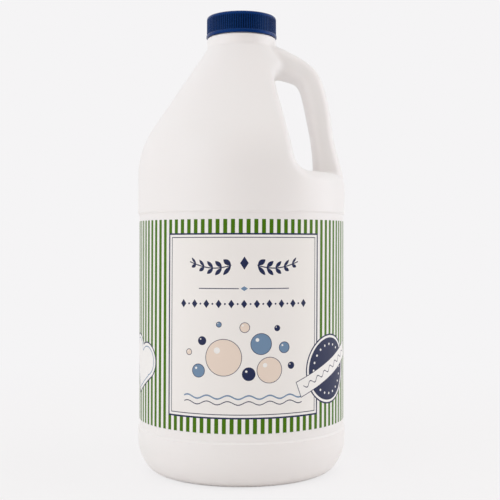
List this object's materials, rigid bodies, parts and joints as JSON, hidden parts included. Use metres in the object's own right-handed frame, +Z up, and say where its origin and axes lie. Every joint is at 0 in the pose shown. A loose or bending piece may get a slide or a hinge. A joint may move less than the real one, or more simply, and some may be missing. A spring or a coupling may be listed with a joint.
{
  "type": "laundry detergent bottle",
  "caption": "Round white jug for liquid laundry detergent with an open side handle, a ribbed dark blue screw cap and a striped wrap label.",
  "frame": {"origin": "centre of the base, on the plane of the ring that the jug stands on", "axes": "+Z up along the bottle's axis, +X towards the handle, the middle of the label faces -Y"},
  "size_m": [0.1174, 0.1174, 0.2566],
  "materials": {
    "bottle": "satin white blow-moulded HDPE",
    "cap": "satin dark blue moulded polypropylene",
    "cap_liner": "matt white foamed polyethylene",
    "label": "satin printed film"
  },
  "bodies": {
    "jug": {"bottle": "bottle", "label": "label"},
    "disc": {"cap_liner": "cap_liner"},
    "closure": {"cap": "cap"}
  },
  "joints": [
    {"name": "cap_lift", "type": "slide", "parent": "jug", "child": "disc", "axis": [0, 0, 1], "range_m": [0, 0.0149]},
    {"name": "cap_turn", "type": "hinge", "parent": "disc", "child": "closure", "pos_m": [0, 0, 0.25], "axis": [0, 0, 1], "range_deg": [0, 1260]}
  ],
  "couplings": [
    {"joint": "cap_lift", "follows": "cap_turn", "m_per_rad": 0.00067376}
  ]
}
